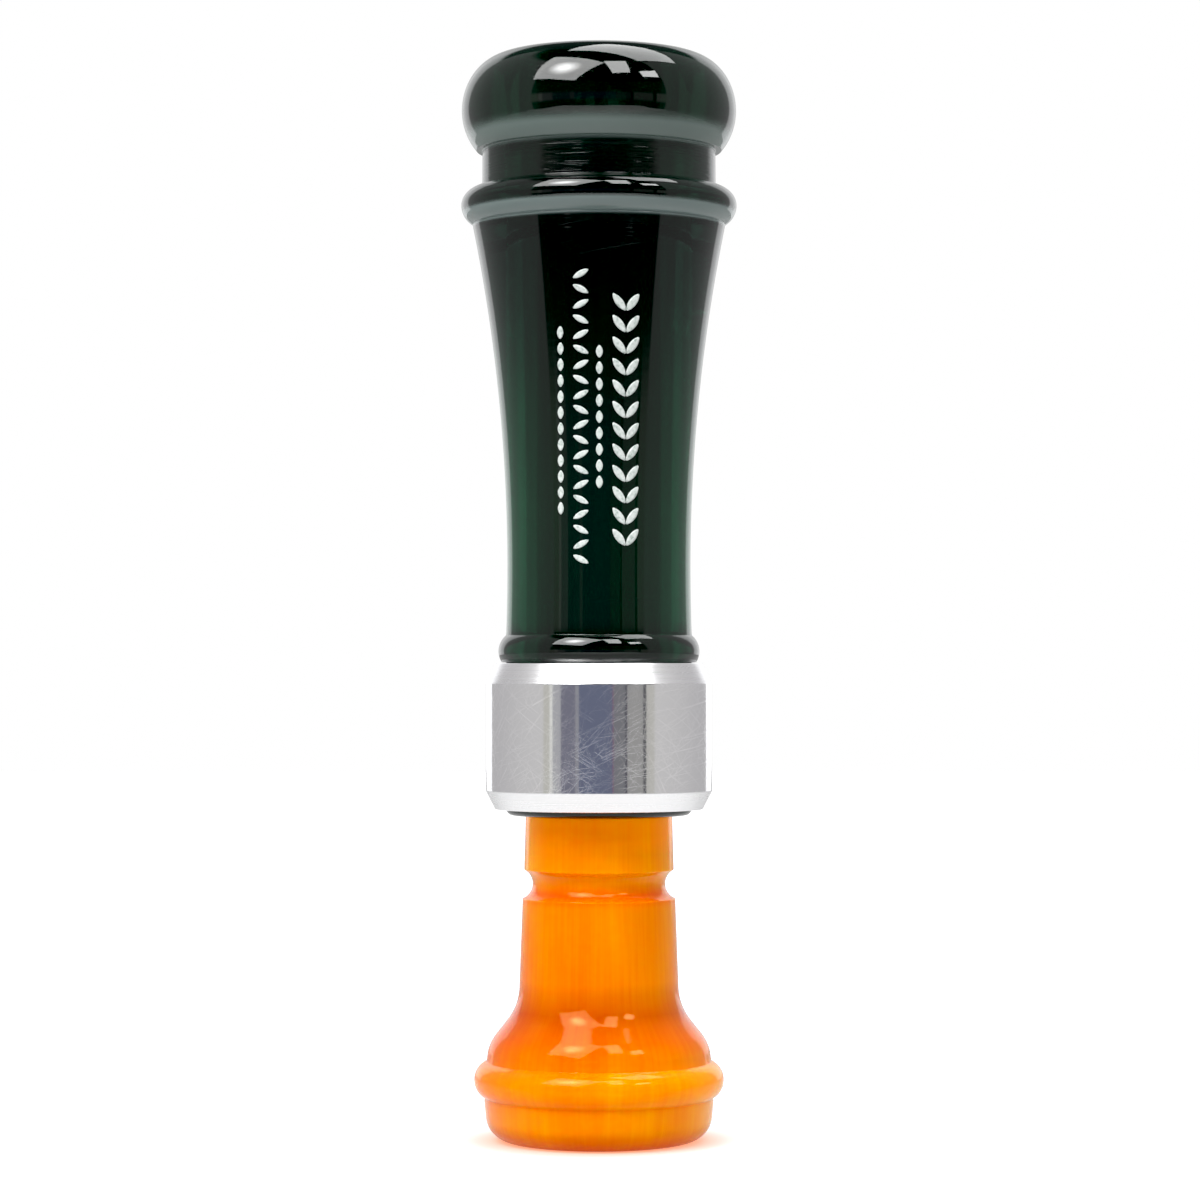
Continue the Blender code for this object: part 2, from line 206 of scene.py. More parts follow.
# Studio, in metres
LIGHT_DISTANCE = 1.2
LIGHT_AIM_Z = 0.08
BLACK_LEVEL = 0.008
CAMERA_PLACE = (0.00013, -0.455, 0.0595)
CAMERA_PITCH = 1.08
CAMERA_LENS_MM = 108.0
FLOOR_CORNERS = ((0.22, -0.385), (0.40, -0.10), (0.40, 1.6))

# Softboxes: (name, azimuth, elevation, width, height, roll, radiance, middle). Width and height are
# fractions of LIGHT_DISTANCE. The middle is how many times brighter it is, or 0 for an even light
SOFTBOXES = [
    ("softbox_left", -37.0, 50.5, 0.66, 0.74, -8.0, 5.5, 4.0),
    ("softbox_small", 21.5, 53.0, 0.24, 0.42, 0.0, 7.5, 0.0),
    ("softbox_right", 48.3, 39.4, 0.22, 0.17, 0.0, 10.0, 0.0),
    ("softbox_top", 120.4, 74.9, 0.80, 0.50, 25.0, 4.5, 0.0),
]

# What stands in front of the call, out to this angle on each side, from left to right:
# (azimuth where it starts, colour)
FRONT_HALF_ANGLE = 60.0
FRONT_STRIPES = [
    (-60.0, (0.53, 0.52, 0.48)),
    (-51.3, (0.76, 0.76, 0.73)),
    (-48.0, (0.42, 0.42, 0.44)),
    (-39.0, (0.19, 0.19, 0.24)),
    (-24.0, (0.30, 0.30, 0.33)),
    (-20.2, (0.145, 0.160, 0.230)),
    (13.2, (0.24, 0.13, 0.19)),
    (14.4, (0.20, 0.20, 0.215)),
    (26.2, (0.10, 0.10, 0.12)),
    (28.2, (0.34, 0.335, 0.33)),
    (45.3, (0.12, 0.12, 0.13)),
    (48.7, (0.52, 0.51, 0.48)),
]


# ---------------------------------------------------------------- curves and outlines


def ellipse(centre, across, up, start, end, steps):
    """Points on part of an ellipse in the profile plane, as (radius, height)."""
    turns = [radians(start + (end - start) * i / steps) for i in range(steps + 1)]
    return [(centre[0] + across * cos(a), centre[1] + up * sin(a)) for a in turns]


def arc(centre, radius, start, end, steps):
    return ellipse(centre, radius, radius, start, end, steps)


def spread(start, end, steps):
    """Evenly spaced numbers from start to end, both included."""
    return [start + (end - start) * i / steps for i in range(steps + 1)]


def soften(outline, radius, closed, sharp=24.0, steps=4):
    """Rounds each corner of an outline that turns by more than `sharp`, as polishing does."""
    points = [Vector(p) for p in outline]
    count = len(points)
    rounded = []
    for i, point in enumerate(points):
        if not closed and i in (0, count - 1):
            rounded.append(point)
            continue
        back = points[i - 1] - point
        ahead = points[(i + 1) % count] - point
        if degrees(back.angle(-ahead)) < sharp:
            rounded.append(point)
            continue
        reach = min(radius, back.length / 3, ahead.length / 3)
        start = point + back.normalized() * reach
        end = point + ahead.normalized() * reach
        for t in spread(0.0, 1.0, steps):
            rounded.append(start * (1 - t) ** 2 + point * (2 * t * (1 - t)) + end * t**2)
    return [tuple(p) for p in rounded]


def waist_radius(z):
    """The hollow waist: one long arc, narrowest at WAIST_Z."""
    return WAIST_RADIUS + WAIST_ARC_RADIUS - sqrt(WAIST_ARC_RADIUS**2 - (z - WAIST_Z) ** 2)


def barrel_profile():
    """The barrel's section: from the lip's crown down the outside, then up the bore."""
    crown = (LIP_CROWN_RADIUS, LIP_CENTRE[1])
    crown_across = LIP_CENTRE[0] + LIP_RADIUS - LIP_CROWN_RADIUS
    lip = ellipse(crown, crown_across, TOTAL_HEIGHT - crown[1], 90, 0, 32)
    lip += arc(LIP_CENTRE, LIP_RADIUS, 0, LIP_UNDERCUT, 18)[1:]
    lanyard_groove = [(LANYARD_RADIUS, LANYARD_TOP_Z)]
    ring = ellipse(RING_CENTRE, BEAD_TOOL_RADIUS, RING_TOP_HEIGHT, RING_TOP_START, 0, 18)
    ring += arc(RING_CENTRE, BEAD_TOOL_RADIUS, 0, RING_UNDERCUT, 14)[1:]
    waist = [(waist_radius(z), z) for z in spread(WAIST_TOP_Z, WAIST_BOTTOM_Z, 40)]
    bead_low = -degrees(asin((BARREL_BEAD_CENTRE[1] - BARREL_SHOULDER_Z) / BEAD_TOOL_RADIUS))
    bead = arc(BARREL_BEAD_CENTRE, BEAD_TOOL_RADIUS, BARREL_BEAD_START, bead_low, 18)
    tip_centre = (SPIGOT_RADIUS - BARREL_TIP_ROUND, BARREL_BOTTOM_Z + BARREL_TIP_ROUND)
    spigot = [(SPIGOT_RADIUS, bead[-1][1])]
    spigot += arc(tip_centre, BARREL_TIP_ROUND, 0, -90, 8)
    bore = [(BORE_RADIUS, BARREL_BOTTOM_Z)]
    mouth = (LIP_CROWN_RADIUS, TOTAL_HEIGHT - MOUTH_DEPTH)
    mouth_flare = ellipse(mouth, LIP_CROWN_RADIUS - BORE_RADIUS, MOUTH_DEPTH, 180, 90, 20)[:-1]
    return lip + lanyard_groove + ring + waist + bead + spigot + bore + mouth_flare


def band_profile():
    """The band's section, with its two chamfers."""
    outer, inner = BAND_RADIUS, SPIGOT_RADIUS + BAND_GAP
    edge = outer - BAND_CHAMFER
    return [
        (inner, BAND_TOP_Z),
        (edge, BAND_TOP_Z),
        (outer, BAND_TOP_Z - BAND_TOP_CHAMFER_Z),
        (outer, BAND_BOTTOM_Z + BAND_BOTTOM_CHAMFER_Z),
        (edge, BAND_BOTTOM_Z),
        (inner, BAND_BOTTOM_Z),
    ]


def ring_groove(centre_z):
    """A square-cut O-ring groove in the tenon, from top to bottom."""
    top, bottom = centre_z + RING_GROOVE_WIDTH / 2, centre_z - RING_GROOVE_WIDTH / 2
    return [
        (TENON_RADIUS, top),
        (RING_GROOVE_RADIUS, top),
        (RING_GROOVE_RADIUS, bottom),
        (TENON_RADIUS, bottom),
    ]


def groove_reach(radius):
    """How far above or below its centre the lanyard groove meets this radius."""
    return sqrt(GROOVE_RADIUS**2 - (GROOVE_CENTRE[0] - radius) ** 2)


def bell_ogee():
    """The cove below the neck, the straight slope and the shoulder above the bead."""
    cove_centre = (NECK_BOTTOM[0] + BELL_COVE_RADIUS, NECK_BOTTOM[1])
    cove = arc(cove_centre, BELL_COVE_RADIUS, 180, 180 + BELL_SLOPE, 14)
    slope = radians(BELL_SLOPE)
    end_r = cove[-1][0] + BELL_SLOPE_LENGTH * sin(slope)
    end_z = cove[-1][1] - BELL_SLOPE_LENGTH * cos(slope)
    centre = (end_r - BELL_SHOULDER_RADIUS * cos(slope), end_z - BELL_SHOULDER_RADIUS * sin(slope))
    return cove + arc(centre, BELL_SHOULDER_RADIUS, BELL_SLOPE, BELL_SHOULDER_START, 10)


def exhaust_radius(z):
    """The exhaust's trumpet shape, from the tone bore out to the bell's mouth."""
    widening = (1 - z / FLARE_TOP_Z) ** EXHAUST_FLARE
    return TONE_BORE_RADIUS + (EXHAUST_RADIUS - TONE_BORE_RADIUS) * widening


def insert_profile():
    """The insert before its toneboard is cut, from the axis at the tip to the blind tone bore."""
    blank = [(0.0, TIP_Z), (TENON_RADIUS, TIP_Z)]
    blank += ring_groove((UPPER_RING_BOTTOM + UPPER_RING_TOP) / 2)
    blank += ring_groove((LOWER_RING_BOTTOM + LOWER_RING_TOP) / 2)
    collar_bottom_z = GROOVE_CENTRE[1] + groove_reach(COLLAR_BOTTOM_RADIUS)
    collar = [
        (TENON_RADIUS, SHOULDER_Z),
        (COLLAR_TOP_RADIUS, SHOULDER_Z),
        (COLLAR_BOTTOM_RADIUS, collar_bottom_z),
    ]
    collar_reach = GROOVE_CENTRE[0] - COLLAR_BOTTOM_RADIUS
    neck_reach = GROOVE_CENTRE[0] - NECK_TOP_RADIUS
    high = 180 - degrees(atan(groove_reach(COLLAR_BOTTOM_RADIUS) / collar_reach))
    low = 180 + degrees(atan(groove_reach(NECK_TOP_RADIUS) / neck_reach))
    groove = arc(GROOVE_CENTRE, GROOVE_RADIUS, high, low, 20)[1:]
    bead = arc(BELL_BEAD_CENTRE, BELL_BEAD_RADIUS, BELL_BEAD_START, BELL_BEAD_END, 26)
    foot = arc(FOOT_ROUND_CENTRE, FOOT_ROUND_CENTRE[1], 0, -90, 14)
    mouth = [(EXHAUST_RADIUS + EXHAUST_LIP, 0.0)]
    flare = [(exhaust_radius(z), z) for z in spread(EXHAUST_LIP, FLARE_TOP_Z, 24)]
    bore = [(TONE_BORE_RADIUS, TONE_BORE_TOP_Z), (0.0, TONE_BORE_TOP_Z)]
    return blank + collar + groove + bell_ogee() + bead + [BASE_TOP] + foot + mouth + flare + bore


def notch_z(y):
    """The undercut rear wall of the wedge notch, which leans over the reed."""
    return NOTCH_Z + (TONEBOARD_Y - y) * tan(radians(NOTCH_UNDERCUT))


def toneboard_y(z):
    """The toneboard's face: flat under the wedge, then falling away to the tip."""
    along = max(0.0, (z - CURVE_START_Z) / (TIP_Z - CURVE_START_Z))
    return TONEBOARD_Y + TIP_FALL * along**2


def channel_y(z):
    """The floor of the tone channel: level, then rising in a J to the toneboard's face."""
    along = max(0.0, (z - CHANNEL_CURVE_Z) / (CHANNEL_END_Z - CHANNEL_CURVE_Z))
    return CHANNEL_FLOOR_Y + (CHANNEL_END_Y - CHANNEL_FLOOR_Y) * along**2


# ---------------------------------------------------------------- mesh tools


def new_object(name, shape, material=None):
    """A smooth-shaded mesh object from a bmesh, which is used up."""
    bmesh.ops.recalc_face_normals(shape, faces=shape.faces)
    mesh = bpy.data.meshes.new(name)
    shape.to_mesh(mesh)
    shape.free()
    mesh.shade_smooth()
    mesh.set_sharp_from_angle(angle=radians(32.0))
    obj = bpy.data.objects.new(name, mesh)
    bpy.context.scene.collection.objects.link(obj)
    if material is not None:
        mesh.materials.append(material)
    return obj


def even_normals(obj):
    """Lets large faces set the shading, so that softened corners stay narrow."""
    weighted = obj.modifiers.new("even normals", "WEIGHTED_NORMAL")
    weighted.keep_sharp = True
    weighted.weight = 80


def turned(name, profile, material, closed=True, steps=STEPS):
    """A solid turned about Z from a profile of (radius, height)."""
    shape = bmesh.new()
    points = [shape.verts.new((r * MM, 0.0, z * MM)) for r, z in profile]
    edges = [shape.edges.new(pair) for pair in zip(points, points[1:])]
    if closed:
        edges.append(shape.edges.new((points[-1], points[0])))
    bmesh.ops.spin(
        shape,
        geom=points + edges,
        cent=(0, 0, 0),
        axis=(0, 0, 1),
        angle=2 * pi,
        steps=steps,
        use_merge=True,
    )
    bmesh.ops.remove_doubles(shape, verts=shape.verts, dist=WELD)
    return new_object(name, shape, material)


def prism(name, corners, depth):
    """A closed prism from a flat outline of 3-D points, swept along the depth vector."""
    shape = bmesh.new()
    face = shape.faces.new([shape.verts.new(Vector(c) * MM) for c in corners])
    swept = bmesh.ops.extrude_face_region(shape, geom=[face])["geom"]
    moved = [v for v in swept if isinstance(v, bmesh.types.BMVert)]
    bmesh.ops.translate(shape, verts=moved, vec=Vector(depth) * MM)
    return new_object(name, shape)


def side_prism(name, outline, half_width):
    """A prism across the call, from an outline of (depth, height) points."""
    return prism(name, [(-half_width, y, z) for y, z in outline], (2 * half_width, 0, 0))


def front_prism(name, outline, half_depth):
    """A prism through the call from front to back, from an outline of (across, height) points."""
    return prism(name, [(x, -half_depth, z) for x, z in outline], (0, 2 * half_depth, 0))


def evaluated_copy(obj, material):
    """The object with its modifiers applied, as a new smooth object of the same name."""
    bpy.context.view_layer.update()
    graph = bpy.context.evaluated_depsgraph_get()
    mesh = bpy.data.meshes.new_from_object(obj.evaluated_get(graph))
    shape = bmesh.new()
    shape.from_mesh(mesh)
    name = obj.name
    bpy.data.objects.remove(obj, do_unlink=True)
    bpy.data.meshes.remove(mesh)
    bmesh.ops.remove_doubles(shape, verts=shape.verts, dist=WELD)
    return new_object(name, shape, material)


def boolean(obj, others, operation):
    """Cuts or intersects, uses up the other objects, and returns the result."""
    for other in others:
        modifier = obj.modifiers.new(other.name, "BOOLEAN")
        modifier.operation = operation
        modifier.object = other
    made = evaluated_copy(obj, None)
    for other in others:
        bpy.data.objects.remove(other, do_unlink=True)
    return made


# ---------------------------------------------------------------- node trees


class Nodes:
    """Builds a node tree with short calls. An input may be a number, a colour or another node's socket."""

    def __init__(self, tree):
        self.tree = tree

    def add(self, kind, inputs=None, **settings):
        node = self.tree.nodes.new(kind)
        for name, value in settings.items():
            setattr(node, name, value)
        for key, value in (inputs or {}).items():
            self.put(node.inputs[key], value)
        return node

    def put(self, socket, value):
        if isinstance(value, bpy.types.NodeSocket):
            self.tree.links.new(value, socket)
        else:
            socket.default_value = value

    def math(self, operation, *values, clamp=False):
        inputs = dict(enumerate(values))
        return self.add("ShaderNodeMath", inputs, operation=operation, use_clamp=clamp).outputs[0]

    def between(self, value, low, high, out_low=0.0, out_high=1.0, smooth=True):
        """Maps low..high to out_low..out_high, clamped at both ends."""
        inputs = {"Value": value, "From Min": low, "From Max": high, "To Min": out_low, "To Max": out_high}
        kind = "SMOOTHSTEP" if smooth else "LINEAR"
        return self.add("ShaderNodeMapRange", inputs, interpolation_type=kind).outputs["Result"]

    def zone(self, value, start, full, fading, end):
        """1 where the value lies between full and fading, and 0 before start and after end."""
        rise = self.between(value, start, full)
        return self.math("MULTIPLY", rise, self.between(value, fading, end, 1.0, 0.0))

    def mix(self, factor, first, second, blend="MIX"):
        node = self.add("ShaderNodeMix", data_type="RGBA", blend_type=blend)
        for key, value in ((0, factor), (6, first), (7, second)):
            self.put(node.inputs[key], value)
        return node.outputs[2]

    def ramp(self, value, stops, interpolation="LINEAR"):
        node = self.add("ShaderNodeValToRGB", {"Fac": value})
        ramp = node.color_ramp
        ramp.interpolation = interpolation
        while len(ramp.elements) < len(stops):
            ramp.elements.new(0.5)
        for element, (position, colour) in zip(ramp.elements, stops):
            element.position = position
            element.color = (*colour, 1.0)
        return node.outputs["Color"]

    def stretched(self, vector, scale, turn=0.0):
        """The vector turned about its second axis, then scaled."""
        turned_vector = self.add("ShaderNodeVectorRotate", {"Vector": vector, "Angle": radians(turn)})
        turned_vector.rotation_type = "Y_AXIS"
        scaled = {0: turned_vector.outputs[0], 1: scale}
        return self.add("ShaderNodeVectorMath", scaled, operation="MULTIPLY").outputs[0]

    def noise(self, vector, scale=(1.0, 1.0, 1.0), detail=2.0, rough=0.5, turn=0.0):
        inputs = {"Vector": self.stretched(vector, scale, turn), "Scale": 1.0}
        inputs.update({"Detail": detail, "Roughness": rough})
        return self.add("ShaderNodeTexNoise", inputs).outputs["Fac"]

    def scratches(self, vector, turns, fine, cut):
        """Fine straight scratches in several directions, as a mask from 0 to 1."""
        found = 0.0
        for turn in turns:
            lines = self.noise(vector, (18.0, 18.0, fine), detail=0.0, turn=turn)
            breaks = self.noise(vector, (230.0, 230.0, fine / 3), detail=0.0, turn=turn)
            segments = self.math(
                "MULTIPLY", self.between(lines, cut, cut + 0.04), self.between(breaks, 0.52, 0.58)
            )
            found = self.math("MAXIMUM", found, segments)
        return found

    def bump(self, height, distance, strength=1.0, normal=None):
        inputs = {"Height": height, "Distance": distance, "Strength": strength}
        if normal is not None:
            inputs["Normal"] = normal
        return self.add("ShaderNodeBump", inputs).outputs["Normal"]


class Finish(Nodes):
    """A new material, with the nodes that tell it where on its piece a point is.

    place is the point, z is its height, forward is how far it is towards the front, and unrolled
    is the point with the round surface laid flat.
    """

    def __init__(self, name):
        self.material = bpy.data.materials.new(name)
        self.material.use_nodes = True
        super().__init__(self.material.node_tree)
        self.place = self.add("ShaderNodeTexCoord").outputs["Object"]
        x, y, self.z = self.add("ShaderNodeSeparateXYZ", {0: self.place}).outputs
        self.forward = self.math("MULTIPLY", y, -1.0)
        arc_length = self.math("MULTIPLY", self.math("ARCTAN2", x, self.forward), UNROLL_RADIUS)
        self.unrolled = self.add("ShaderNodeCombineXYZ", {0: arc_length, 2: self.z}).outputs[0]

    def shade(self, **inputs):
        """Sets inputs of the Principled shader, such as base_color or ior."""
        shader = self.tree.nodes["Principled BSDF"]
        for name, value in inputs.items():
            self.put(shader.inputs[name.replace("_", " ").title().replace("Ior", "IOR")], value)


# ---------------------------------------------------------------- materials


def green_acrylic():
    """Polished dark green acrylic that glows where light comes through from behind.

    The undersides of the lip and the ring are painted paler and made opaque, a painted glow, and the body
    is painted greener low on the waist.
    """
    nodes = Finish("green_acrylic")
    # Painted glow: the body colour is painted greener low on the waist, standing in for light that comes
    # through the acrylic, and darker just below the ring
    along = nodes.between(nodes.z, 0.0600, 0.1370, smooth=False)
    body = nodes.ramp(
        along,
        [
            (0.00, (0.0030, 0.0320, 0.0150)),
            (0.25, (0.0030, 0.0350, 0.0150)),
            (0.55, (0.0025, 0.0200, 0.0110)),
            (0.70, (0.0025, 0.0100, 0.0070)),
            (0.86, (0.0030, 0.0200, 0.0090)),
            (1.00, (0.0030, 0.0140, 0.0080)),
        ],
    )
    clouds = nodes.noise(nodes.place, (110.0, 110.0, 45.0), detail=3.0)
    streaks = nodes.noise(nodes.unrolled, (900.0, 1.0, 12.0), detail=2.0)
    cloud_depth = nodes.between(clouds, 0.3, 0.7, 0.75, 1.3)
    streak_depth = nodes.between(streaks, 0.3, 0.7, 0.85, 1.2)
    depth = nodes.math("MULTIPLY", cloud_depth, streak_depth)
    shades = nodes.add("ShaderNodeCombineXYZ", {0: depth, 1: depth, 2: depth}).outputs[0]
    colour = nodes.mix(1.0, body, shades, "MULTIPLY")
    # Painted glow: the undersides of the lip and the ring are painted a paler green-grey and made opaque
    under_lip = nodes.zone(nodes.z, *UNDER_LIP)
    under_ring = nodes.zone(nodes.z, *UNDER_RING)
    painted_glow_undersides = nodes.math("MAXIMUM", under_lip, under_ring)
    colour = nodes.mix(under_lip, colour, (0.118, 0.160, 0.145, 1.0))
    colour = nodes.mix(under_ring, colour, (0.145, 0.190, 0.182, 1.0))
    scratches = nodes.scratches(nodes.unrolled, (12.0, -28.0, 64.0), 7000.0, 0.68)
    turning = nodes.noise(nodes.unrolled, (60.0, 1.0, 5200.0), detail=2.0)
    polish = nodes.between(turning, 0.35, 0.7, 0.02, 0.05)
    rough = nodes.math("ADD", polish, nodes.math("MULTIPLY", scratches, 0.10))
    groove = nodes.zone(nodes.z, *LANYARD_WALL)
    lines = nodes.math("MULTIPLY", turning, nodes.math("ADD", nodes.math("MULTIPLY", groove, 40.0), 1.0))
    rings = nodes.noise(nodes.unrolled, (45.0, 1.0, 1500.0), detail=2.0)
    normal = nodes.bump(lines, 0.0000015)
    normal = nodes.bump(rings, 0.0000050, normal=normal)
    normal = nodes.bump(nodes.noise(nodes.place, (160.0, 160.0, 160.0)), 0.000012, normal=normal)
    nodes.shade(base_color=colour, roughness=rough, ior=BARREL_IOR, normal=normal)
    clarity = nodes.math("MULTIPLY_ADD", painted_glow_undersides, -BARREL_CLARITY, BARREL_CLARITY)
    nodes.shade(transmission_weight=clarity, specular_ior_level=0.68)
    fading = nodes.between(nodes.z, *GREEN_GLOW_FADE, 0.110, 0.015)
    glow = nodes.math("MULTIPLY", nodes.between(nodes.z, *GREEN_GLOW_START), fading)
    nodes.shade(sheen_weight=glow, sheen_roughness=0.6, sheen_tint=(0.02, 0.50, 0.22, 1.0))
    return nodes.material


def amber_acrylic():
    """Amber pearl acrylic: silky pigment streaks in a translucent body.

    Its colour is painted lighter and darker by height, painted light and shade, and a painted glow lights
    the collar where the band shades it.
    """
    nodes = Finish("amber_acrylic")
    silk = nodes.noise(nodes.unrolled, (1500.0, 1.0, 60.0), detail=4.0, rough=0.6)
    swirl = nodes.noise(nodes.place, (95.0, 95.0, 30.0), detail=2.0)
    pearl = nodes.math("ADD", nodes.math("MULTIPLY", silk, 0.3), nodes.math("MULTIPLY", swirl, 0.7))
    body = nodes.ramp(
        pearl,
        [
            (0.38, (0.730, 0.150, 0.0)),
            (0.50, (0.770, 0.185, 0.0)),
            (0.62, (0.800, 0.235, 0.0)),
        ],
    )
    # Painted light and shade by height: darker in the cove and the lanyard groove, lighter on the foot and
    # on the collar under the band
    painted_light_and_shade = nodes.ramp(
        nodes.between(nodes.z, 0.0, 0.0400, smooth=False),
        [
            (0.00, (0.95, 0.75, 1.0)),
            (0.06, (1.10, 1.40, 1.0)),
            (0.165, (1.25, 1.50, 1.0)),
            (0.25, (0.98, 1.04, 1.0)),
            (0.33, (0.78, 0.56, 1.0)),
            (0.41, (0.62, 0.37, 1.0)),
            (0.51, (1.00, 1.02, 1.0)),
            (0.74, (1.00, 1.20, 1.0)),
            (0.78, (0.93, 0.55, 1.0)),
            (0.82, (1.15, 1.55, 1.0)),
            (0.91, (1.18, 1.50, 1.0)),
            (1.00, (1.20, 1.70, 1.0)),
        ],
    )
    colour = nodes.mix(1.0, body, painted_light_and_shade, "MULTIPLY")
    grain = nodes.noise(nodes.unrolled, (2400.0, 1.0, 700.0), detail=2.0)
    rough = nodes.between(grain, 0.3, 0.7, 0.06, 0.11)
    turning = nodes.noise(nodes.unrolled, (40.0, 1.0, 4200.0), detail=1.0)
    normal = nodes.bump(turning, 0.0000025)
    normal = nodes.bump(nodes.noise(nodes.place, (140.0, 140.0, 140.0)), 0.00002, normal=normal)
    nodes.shade(base_color=colour, roughness=rough, ior=INSERT_IOR, normal=normal)
    nodes.shade(specular_ior_level=0.50, specular_tint=(1.0, 0.60, 0.22, 1.0))
    nodes.shade(subsurface_weight=0.7, subsurface_scale=0.001, subsurface_radius=(4.0, 1.2, 0.2))
    # Painted glow: an emission on the collar just under the band, where the band's shade falls
    rise = nodes.between(nodes.z, *COLLAR_GLOW_RISE, 0.0, COLLAR_GLOW, smooth=False)
    glow = nodes.math("MULTIPLY", rise, nodes.between(nodes.z, *COLLAR_GLOW_END, 1.0, 0.0))
    nodes.shade(emission_color=(1.0, 0.16, 0.0, 1.0), emission_strength=glow)
    return nodes.material


def polished_aluminium():
    """Polished metal with satin chamfers and the fine handling scratches of use."""
    nodes = Finish("polished_aluminium")
    scratches = nodes.scratches(nodes.unrolled, (8.0, 27.0, -35.0, 52.0, -64.0, 80.0), 12000.0, 0.63)
    patches = nodes.noise(nodes.unrolled, (170.0, 1.0, 170.0), detail=2.0)
    worn = nodes.math("MULTIPLY", scratches, nodes.between(patches, 0.35, 0.60, 0.50, 1.0))
    turning = nodes.noise(nodes.unrolled, (25.0, 1.0, 9000.0), detail=2.0)
    waves = nodes.noise(nodes.unrolled, (500.0, 1.0, 1500.0), detail=1.0)
    upper = nodes.between(nodes.z, UPPER_CHAMFER_Z - CHAMFER_EDGE, UPPER_CHAMFER_Z + CHAMFER_EDGE)
    lower = nodes.between(nodes.z, LOWER_CHAMFER_Z - CHAMFER_EDGE, LOWER_CHAMFER_Z + CHAMFER_EDGE, 1.0, 0.0)
    satin = nodes.math("ADD", upper, lower)
    wall = nodes.math("SUBTRACT", 1.0, satin)
    worn = nodes.math("MULTIPLY", worn, nodes.between(wall, 0.0, 1.0, 0.25, 1.0))
    polish = nodes.between(turning, 0.3, 0.7, 0.045, 0.09)
    rough = nodes.math("ADD", polish, nodes.math("MULTIPLY", worn, 0.08))
    rough = nodes.math("ADD", rough, nodes.math("MULTIPLY", satin, 0.22))
    colour = nodes.mix(worn, (0.86, 0.862, 0.870, 1.0), (0.97, 0.97, 0.98, 1.0))
    normal = nodes.bump(turning, 0.0000006)
    waves = nodes.math("MULTIPLY", waves, wall)
    normal = nodes.bump(waves, 0.0000015, normal=normal)
    normal = nodes.bump(worn, 0.0000011, normal=normal)
    nodes.shade(base_color=colour, metallic=1.0, roughness=rough, normal=normal)
    return nodes.material


def black_rubber():
    nodes = Finish("black_rubber")
    bloom = nodes.noise(nodes.place, (900.0, 900.0, 900.0), detail=4.0)
    colour = nodes.ramp(bloom, [(0.35, (0.010, 0.010, 0.011)), (0.70, (0.030, 0.030, 0.031))])
    rough = nodes.between(bloom, 0.3, 0.7, 0.42, 0.62)
    fine = nodes.noise(nodes.place, (5000.0, 5000.0, 5000.0), detail=2.0)
    nodes.shade(base_color=colour, roughness=rough, normal=nodes.bump(fine, 0.000004))
    return nodes.material


def cork():
    """Sanded cork: pale cells with dark lenticels."""
    nodes = Finish("cork")
    cells = nodes.add("ShaderNodeTexVoronoi", {"Vector": nodes.place, "Scale": 1500.0}).outputs
    flecks = nodes.noise(nodes.place, (520.0, 520.0, 900.0), detail=3.0)
    tone = nodes.ramp(
        nodes.noise(nodes.place, (700.0, 700.0, 700.0), detail=5.0, rough=0.65),
        [
            (0.34, (0.300, 0.160, 0.075)),
            (0.50, (0.520, 0.320, 0.165)),
            (0.68, (0.680, 0.460, 0.270)),
        ],
    )
    dark = nodes.between(flecks, 0.62, 0.70)
    colour = nodes.mix(dark, tone, (0.11, 0.050, 0.022, 1.0))
    height = nodes.math("ADD", cells["Distance"], nodes.math("MULTIPLY", dark, -1.0))
    nodes.shade(base_color=colour, roughness=0.86, normal=nodes.bump(height, 0.00005))
    return nodes.material


def reed_film():
    """Frosted clear plastic film, a little scuffed."""
    nodes = Finish("reed_film")
    haze = nodes.noise(nodes.place, (260.0, 260.0, 120.0), detail=3.0)
    scuffs = nodes.scratches(nodes.place, (8.0, -12.0, 80.0), 6000.0, 0.66)
    colour = nodes.ramp(haze, [(0.35, (0.70, 0.74, 0.74)), (0.68, (0.84, 0.86, 0.84))])
    film_rough = nodes.between(haze, 0.3, 0.7, 0.22, 0.34)
    rough = nodes.math("ADD", film_rough, nodes.math("MULTIPLY", scuffs, 0.20))
    nodes.shade(base_color=colour, roughness=rough, normal=nodes.bump(scuffs, 0.000003))
    nodes.shade(transmission_weight=REED_CLARITY, ior=REED_IOR)
    return nodes.material


def white_fill():
    """Matt white paint in the engraved ornament, with thin spots."""
    nodes = Finish("white_fill")
    thin = nodes.noise(nodes.place, (2600.0, 2600.0, 2600.0), detail=4.0)
    colour = nodes.ramp(
        thin,
        [
            (0.30, (0.32, 0.40, 0.36)),
            (0.46, (0.56, 0.61, 0.58)),
            (0.70, (0.67, 0.70, 0.68)),
        ],
    )
    nodes.shade(base_color=colour, roughness=nodes.between(thin, 0.3, 0.7, 0.35, 0.6))
    return nodes.material


# ---------------------------------------------------------------- pieces


def piece(obj, body, node):
    """obj rides on the body, and stands for the CAD node if one is given."""
    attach(obj, body)
    if node:
        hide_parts(node)
    return obj


def make_barrel(material):
    profile = soften(barrel_profile(), EDGE_SOFTNESS, closed=True)
    barrel = turned("turned_barrel", profile, material)
    even_normals(barrel)
    piece(barrel, "barrel", "barrel")


def make_band(material):
    profile = soften(band_profile(), EDGE_SOFTNESS, closed=True)
    band = turned("metal_band", profile, material, steps=BAND_STEPS)
    even_normals(band)
    piece(band, "barrel", "band")


